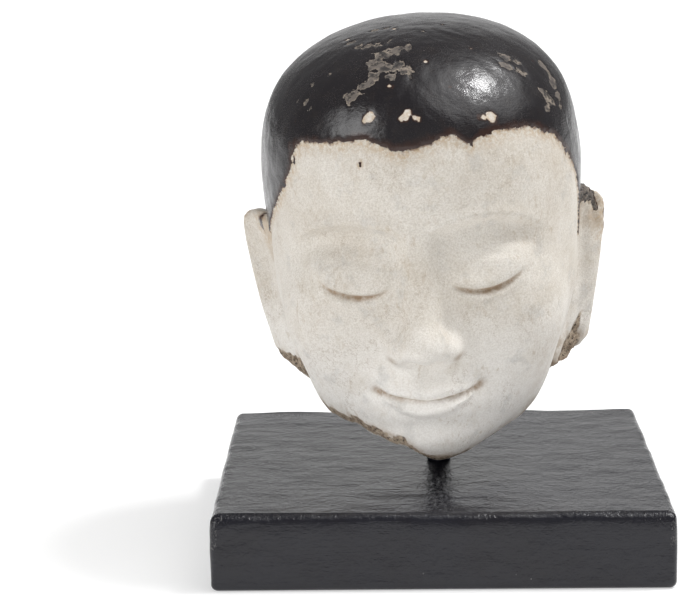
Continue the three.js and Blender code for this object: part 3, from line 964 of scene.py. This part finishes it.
def weather_head(piece, settings):
    """Raises the lacquer, sinks its chips, and wears the bare stone unevenly."""
    p = read_points(piece)
    hair = hair_inside(p)
    thick = settings.lacquer_thickness / MM
    raised = thick * (smoothstep(hair, -0.5, 0.5) - 0.5) * bump(np.clip(hair, None, 0), SWELLING_ON_SKIN)
    raised = np.where(hair > 0, raised - thick * 0.5 * (1 - bump(hair, SWELLING_ON_HAIR)), raised)
    raised = raised - CHIP_DEPTH * smoothstep(spots(p, CHIPS), -0.4, 0.4) * (hair > 0)
    raised = raised + FLECK_HEIGHT * smoothstep(spots(p, FLECKS), -0.4, 0.4) * (hair < 0)
    raised = raised - FLAKE_DEPTH * smoothstep(spots(p, FLAKES), -0.3, 0.6) * (hair > 0)
    covered = smoothstep(lacquer_inside(p, 1), -0.5, 0.5)
    smooth_lumps = 0.16 * rough(p, 7, 51, 2) + 0.07 * lumps(p, 2.6, 53) - COVERED_DROP
    worn = settings.wear / MM * rough(p, 19, 61, 3) + 0.07 * rough(p, 3.2, 67, 2)
    lift = raised + lerp(worn, smooth_lumps, covered)
    push_out(piece, p, lift)


def right_ear_break(s, t, ragged):
    """How broken each point of an ear is, and how far its outer face is bevelled back there."""
    start = lerp(0.79, 0.90, s)
    broken = smoothstep(t + ragged, start, start + 0.02)
    return broken, 3.2 * smoothstep(t, 0.9, 1.02)


def left_ear_break(s, t, ragged):
    """As for the right ear, with a slanting patch above the broken end."""
    slant = 0.70 - 1.6 * (t - 0.74)
    broken = smoothstep(t + 2 * ragged, 0.70, 0.78) * (1 - smoothstep(s + 2 * ragged, 0.70, 0.80))
    broken = broken * smoothstep(s + ragged, slant - 0.08, slant + 0.08)
    broken = np.maximum(broken, smoothstep(t + ragged, 0.985, 0.995))
    return broken, 2.3 * smoothstep(t, 0.94, 1.01) * smoothstep(s, 0.5, 0.9) + 0.6 * broken


def right_ear_coat(p, s, w, t, ragged):
    """Roughness, lacquer, flaking and dirt. A lick of the hair's lacquer runs onto the ear's root."""
    lick = 1.5 * (1 - np.hypot((s - 0.40) / 0.06, (t - 0.045) / 0.045)) + 0.3 * lumps(p, 2, 83)
    return 0, np.where(w > 0, lick, -9), -9, 0.6 * bump(t, 0.03) * smoothstep(s, 0.6, 0.9)


def left_ear_coat(p, s, w, t, ragged):
    """As for the right ear. The knocked top holds dirt and lacquer, and so does a spot on its back edge."""
    knocked = 1 - smoothstep(t + 2 * ragged - 0.05 * (1 - s), 0.09, 0.12)
    knocked = knocked * smoothstep(s, 0.1, 0.25) * (1 - smoothstep(s + 2 * ragged, 0.76, 0.86))
    spot = 1.5 * (1 - np.hypot((s - 1.0) / 0.07, (t - 0.12) / 0.07)) + 0.5 * lumps(p, 2, 85)
    below = bump(t - 0.17, 0.04) * smoothstep(s, 0.2, 0.4)
    uneven = knocked * (1.5 * rough(p, 4.2, 77, 4) - 0.4) + 0.5 * below * rough(p, 3, 89, 3)
    flake = lerp(-9, 1.0, knocked) + 2.2 * lumps(p, 2.4, 87) * knocked
    return uneven, np.maximum(lerp(-6, 1.5, knocked), spot), flake, 0.8 * below


def ear(shape, find_break, find_coat):
    """A long ear with its lobe broken off, in the head's frame. Over it s runs from the front edge to
    the back, t from the top to the broken end, and w from the inner face to the outer."""
    piece = box_of_cells(EAR_CELLS)
    place = np.clip(read_points(piece), -0.5, 0.5)
    s, w, t = (place * [1, -1, -1] + [0.5, 0, 0.5]).T
    corner_drop = shape["corner_drop"] * s ** shape["corner_sharpness"]
    top = shape["top"] - shape["top_slope"] * s - corner_drop - 3 * (1 - s) ** 2
    bottom = lerp(*shape["broken_heights"], s) - shape["end_bulge"] * np.sin(np.pi * s)
    bottom = bottom + shape["end_slant"] * w
    (top_x, top_y), (bottom_x, bottom_y) = shape["back"]
    (root_top_x, root_top_y), (root_bottom_x, root_bottom_y) = EAR_FRONT
    front_x = lerp(root_top_x, root_bottom_x, t)
    front_y = lerp(root_top_y, root_bottom_y, t)
    back_x = lerp(top_x, bottom_x, t ** shape["back_curve"])
    back_y = lerp(top_y, bottom_y, t)
    across = np.stack([back_x - front_x, back_y - front_y], 1)
    across /= np.sqrt((across**2).sum(1))[:, None]
    # relief of the outer face: rim, inner fold, hollow and the groove of the lobe
    rim = EAR_RIM * np.maximum(bump(s - 0.93, 0.08), bump(t - 0.03, 0.05))
    fold = EAR_FOLD * bump(s - 0.66 - 0.12 * np.sin(3 * t), 0.06) * bump(t - 0.38, 0.2)
    hollow = EAR_HOLLOW * bump(s - 0.62, 0.16) * bump(t - 0.36, 0.22)
    groove = EAR_GROOVE * bump(s - 0.45, 0.05) * smoothstep(t, 0.45, 0.6)
    outer = np.clip(2 * w, 0, 1)
    rounding = 1 - 0.35 * smoothstep(s, 0.8, 1) - 0.4 * (1 - smoothstep(s, 0, 0.3))
    rounding = rounding - 0.2 * (1 - smoothstep(t, 0, 0.08))
    # soft corners where the face turns to the back edge and the top, and a bevel where it is broken
    soft = EAR_SOFT_CORNER * smoothstep(np.abs(w), 0.25, 0.5)
    turned_in = soft * smoothstep(s, 0.93, 1)
    ragged = 0.02 * rough(place * 70, 6, 75 + shape["side"])
    broken, bevel = find_break(s, t, ragged)
    offset = w * EAR_THICKNESS * rounding + outer * (rim + fold - hollow - groove - bevel)
    x = lerp(front_x, back_x, s) + across[:, 1] * offset - turned_in * across[:, 0]
    y = lerp(front_y, back_y, s) - across[:, 0] * offset - turned_in * across[:, 1]
    z = lerp(top - soft * (1 - smoothstep(t, 0, 0.05)), bottom, t)
    p = np.stack([x * shape["side"], y, z], 1)
    write_points(piece, p)
    if shape["side"] < 0:
        piece.data.flip_normals()
    uneven, lacquer, flake, dirt = find_coat(p, s, w, t, ragged)
    lift = 0.15 * rough(p, 12, 71) + broken * (0.9 * rough(p, 3.6, 73, 4) - 0.3) + uneven
    grime = 0.55 * smoothstep(t, 0.8, 0.97) + 0.4 * bump(s - 0.3, 0.12) + dirt
    push_out(piece, p, lift)
    paint_stone(piece, lacquer=lacquer, flake=flake, broken=0.9 * broken, grime=np.clip(grime, 0, 1))
    return piece


def missing_neck():
    """The stone that is gone below the break, with a rough upper face."""
    deselect()
    bpy.ops.mesh.primitive_grid_add(
        x_subdivisions=BREAK_CELLS, y_subdivisions=BREAK_CELLS, size=BREAK_TOOL_SIZE)
    piece = bpy.context.object
    raise_in_steps(BREAK_TOOL_HEIGHT, 1)
    p = read_points(piece)
    upper = p[:, 2] > BREAK_TOOL_HEIGHT / 2
    x, y = p[:, 0] / MM, p[:, 1] / MM
    flat = np.stack([x, y, np.zeros(len(p))], 1)
    hidden = smoothstep(y + 0.5 * np.abs(x), -25, 0)
    height = break_height(x, y) + lerp(0.35, 1.1, hidden) * rough(flat, 9, 81, 5)
    p[:, 2] = np.where(upper, height * MM, 0)
    write_points(piece, p)
    paint_stone(piece, broken=1)
    return piece


def dress_head(piece):
    """Gives each vertex its share of lacquer, flaking, deep lines, dirt and stain."""
    p = read_points(piece)
    x, y, z = p.T
    side = np.abs(x)
    front = smoothstep(-y, 30, 45)
    eye, _ = eye_parts(side, z)
    mouth, _ = mouth_parts(side, z)
    wing = 0.8 * bump(np.sqrt((side - 13) ** 2 + (z + 36) ** 2), 2.2) * smoothstep(-y, 50, 60)
    placed = to_frame(p) / MM
    above_break = placed[:, 2] - break_height(placed[:, 0], placed[:, 1])
    jaw = 1 - smoothstep(above_break + 1.5 * rough(p, 6, 93), 1.5, 6)
    along_chip = window(-placed[:, 0], 0, 16, 48, 58) * (y < 0)
    crumbled = 1 - smoothstep(above_break + 1.2 * rough(p, 3, 95) - 1.4 * along_chip, 1.3, 2.2)
    cheek = 0.35 * smoothstep(x, 30, 52) * (1 - smoothstep(z, -62, -20)) * front
    right_jaw = 0.7 * smoothstep(x, 16, 28) * (1 - smoothstep(above_break + 2 * rough(p, 7, 97), 8, 20))
    right_jaw = right_jaw * window(-y, 0, 15, 36, 54)
    temples = 0.3 * bump(side - 60, 5) * bump(z - 20, 18) * front
    paint_stone(
        piece,
        lacquer=lacquer_inside(p, CHIP_STEEPNESS),
        flake=spots(p, FLAKES),
        broken=crumbled,
        recess=front * (eye + 0.8 * mouth) + wing,
        grime=np.clip(0.8 * jaw + cheek + temples + right_jaw, 0, 1),
    )


def plinth_blank(radius):
    """The square board with rounded edges, and which of its vertices are on those edges."""
    piece = box_of_cells(PLINTH_CELLS)
    half = np.array(PLINTH_HIGH - PLINTH_LOW) / 2
    middle = np.array(PLINTH_HIGH + PLINTH_LOW) / 2
    # the rows of faces are drawn together towards the edges
    unit = read_points(piece) * 2
    even = np.array(PLINTH_EVEN_SHARE)
    p = (even * unit + (1 - even) * np.sin(unit * np.pi / 2)) * half
    core = np.clip(p, -(half - radius), half - radius)
    out = p - core
    reach = np.sqrt((out**2).sum(1))
    at_edge = reach > radius
    scale = np.where(at_edge, radius / np.maximum(reach, 1e-9), 1)
    write_points(piece, core + out * scale[:, None] + middle)
    return piece, at_edge


def lean_sides(piece, settings):
    """Thins the paint towards the top, so that each side leans in there, most in front and at -x."""
    p = read_points(piece)
    half = np.array(PLINTH_HIGH - PLINTH_LOW) / 2
    up_side = np.clip((p[:, 2] - PLINTH_HIGH.z) / settings.roll_off_height + 1, 0, 1) ** 2
    lean_in = settings.roll_off * up_side * (0.75 - 0.35 * p[:, 0] / half[0])
    lean_in = lean_in * np.where(p[:, 1] < -0.97 * half[1], PLINTH_FRONT_LEAN, 1)
    sideways = np.array([1, 1, 0]) * p / np.maximum(np.abs(p).max(axis=1), 1e-9)[:, None]
    write_points(piece, p - sideways * lean_in[:, None])


def paint_plinth(piece, settings, at_edge):
    """Lumps of thick paint, and where it is worn along its upper edges and lies on top."""
    p = read_points(piece)
    half = np.array(PLINTH_HIGH - PLINTH_LOW) / 2
    lifted = smoothstep(p[:, 2], 0.5 * MM, 4 * MM)
    long_lumps = rough(p / MM * [0.6, 1, 1], 9, 101, 3)
    edge_lumps = np.where(at_edge, 1.0, 0.0) * rough(p / MM * [0.8, 0.8, 1], 13, 107, 2)
    push_out(piece, p, settings.lump_height * (long_lumps + 1.2 * edge_lumps - 1.6) * lifted)
    outer = np.clip(np.abs(p[:, :2]) / half[:2] * 4 - 3, 0, 1)
    ridge = np.where(at_edge & (p[:, 2] > half[2]), 1.0, 0.0)
    paint(piece, "wear", ridge * (0.72 + 0.28 * outer[:, 0] * outer[:, 1]))
    top_start = PLINTH_HIGH.z - settings.edge_radius
    paint(piece, "top", smoothstep(p[:, 2], top_start, PLINTH_HIGH.z - 0.5 * MM))


class STONEHEAD_OT_head(bpy.types.Operator):
    """Carve the head with its ears, break it at the neck and lacquer the hair"""
    bl_idname = "stonehead.head"
    bl_label = "Head"

    def execute(self, context):
        settings = context.scene.stonehead_head
        piece = head_blank(settings)
        dress_head(piece)
        weather_head(piece, settings)
        combine(piece, ear(RIGHT_EAR, right_ear_break, right_ear_coat), "UNION")
        combine(piece, ear(LEFT_EAR, left_ear_break, left_ear_coat), "UNION")
        write_points(piece, to_frame(read_points(piece)))
        combine(piece, missing_neck(), "DIFFERENCE")
        socket_top = ROD_HIGH.z + ROD_PLAY
        socket = rod_socket(socket_top / 2, socket_top)
        paint_stone(socket, broken=1)
        combine(piece, socket, "DIFFERENCE")
        finish_piece(piece, "carved_head", stone_material(settings), STONE_SMOOTHING)
        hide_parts("head")
        return {"FINISHED"}


class STONEHEAD_OT_rod(bpy.types.Operator):
    """Make the painted rod with the ring of paint round its foot"""
    bl_idname = "stonehead.rod"
    bl_label = "Rod"

    def execute(self, context):
        settings = context.scene.stonehead_plinth
        deselect()
        bpy.ops.mesh.primitive_circle_add(
            vertices=ROD_SIDES, radius=ROD_RADIUS, fill_type="NGON", location=(0, 0, ROD_LOW.z))
        piece = context.object
        apply_place()
        raise_in_steps(ROD_HIGH.z - ROD_LOW.z, ROD_STEPS)
        p = read_points(piece)
        height = p[:, 2]
        foot = settings.ring * np.exp(-np.clip(height - PLINTH_HIGH.z, 0, None) / (0.9 * MM))
        foot = np.where(height < PLINTH_HIGH.z - 0.1 * MM, 0, foot)
        outward = p * [1, 1, 0] / np.maximum(np.hypot(p[:, 0], p[:, 1]), 1e-9)[:, None]
        # the paint is uneven only between the plinth and the break
        shown = window(height, PLINTH_HIGH.z - 0.2 * MM, PLINTH_HIGH.z, 43 * MM, 46 * MM)
        lift = foot + shown * ROD_PAINT_LUMPS * rough(p / MM, 4, 91)
        write_points(piece, p + outward * lift[:, None])
        finish_piece(piece, "painted_rod", rod_material(settings), PAINT_SMOOTHING)
        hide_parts("rod")
        return {"FINISHED"}


class STONEHEAD_OT_plinth(bpy.types.Operator):
    """Make the square plinth with its rounded edges and thick uneven paint"""
    bl_idname = "stonehead.plinth"
    bl_label = "Plinth"

    def execute(self, context):
        settings = context.scene.stonehead_plinth
        piece, at_edge = plinth_blank(settings.edge_radius)
        lean_sides(piece, settings)
        paint_plinth(piece, settings, at_edge)
        depth = PLINTH_HIGH.z - ROD_LOW.z + ROD_PLAY
        combine(piece, rod_socket(PLINTH_HIGH.z, 2 * depth), "DIFFERENCE")
        finish_piece(piece, "painted_plinth", plinth_material(settings), PAINT_SMOOTHING)
        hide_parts("plinth")
        return {"FINISHED"}


class STONEHEAD_OT_stage(bpy.types.Operator):
    """Set the pale floor, the lights and the camera"""
    bl_idname = "stonehead.stage"
    bl_label = "Stage"

    def execute(self, context):
        settings = context.scene.stonehead_stage
        deselect()
        bpy.ops.mesh.primitive_plane_add(size=FLOOR_SIZE, location=FLOOR_MIDDLE)
        floor = context.object
        apply_place()
        floor.name = "floor"
        floor.data.materials.append(floor_material(settings))

        context.scene.world = studio_light(settings)

        key = bpy.data.lights.new("key", "SUN")
        key.energy = settings.sun_strength
        key.angle = KEY_WIDTH
        lamp = bpy.data.objects.new("key", key)
        context.scene.collection.objects.link(lamp)
        lamp.location = KEY_TOWARDS
        lamp.rotation_euler = KEY_TOWARDS.to_track_quat("Z", "Y").to_euler()

        camera = bpy.data.cameras.new("camera")
        camera.sensor_width = SENSOR_WIDTH
        camera.lens = settings.lens
        viewer = bpy.data.objects.new("camera", camera)
        context.scene.collection.objects.link(viewer)
        viewer.matrix_world = (
            Matrix.Translation(settings.camera_place)
            @ Matrix.Rotation(settings.camera_turn, 4, "Z")
            @ Matrix.Rotation(math.pi / 2 - settings.camera_pitch, 4, "X")
            @ Matrix.Rotation(settings.camera_roll, 4, "Z")
        )
        context.scene.camera = viewer
        context.scene.view_settings.view_transform = "Standard"
        return {"FINISHED"}


class STONEHEAD_PT_panel(bpy.types.Panel):
    """The head's sizes and colours, and a button for each piece"""
    bl_label = "Stone head"
    bl_idname = "STONEHEAD_PT_panel"
    bl_space_type = "VIEW_3D"
    bl_region_type = "UI"
    bl_category = "Stone head"

    def draw(self, context):
        for group, operators in PANEL_ROWS:
            box = self.layout.box()
            settings = getattr(context.scene, group)
            for name in settings.bl_rna.properties.keys():
                if name not in ("rna_type", "name"):
                    box.prop(settings, name)
            for operator in operators:
                box.operator(operator)


PANEL_ROWS = [
    ("stonehead_stage", ["stonehead.stage"]),
    ("stonehead_plinth", ["stonehead.plinth", "stonehead.rod"]),
    ("stonehead_head", ["stonehead.head"]),
]
CLASSES = [
    HeadSettings,
    PlinthSettings,
    StageSettings,
    STONEHEAD_OT_head,
    STONEHEAD_OT_rod,
    STONEHEAD_OT_plinth,
    STONEHEAD_OT_stage,
    STONEHEAD_PT_panel,
]


def register():
    for cls in CLASSES:
        bpy.utils.register_class(cls)
    bpy.types.Scene.stonehead_head = bpy.props.PointerProperty(type=HeadSettings)
    bpy.types.Scene.stonehead_plinth = bpy.props.PointerProperty(type=PlinthSettings)
    bpy.types.Scene.stonehead_stage = bpy.props.PointerProperty(type=StageSettings)


def unregister():
    del bpy.types.Scene.stonehead_stage
    del bpy.types.Scene.stonehead_plinth
    del bpy.types.Scene.stonehead_head
    for cls in reversed(CLASSES):
        bpy.utils.unregister_class(cls)


def main():
    register()
    bpy.ops.stonehead.stage()
    bpy.ops.stonehead.plinth()
    bpy.ops.stonehead.rod()
    bpy.ops.stonehead.head()


if __name__ == "__main__":
    main()
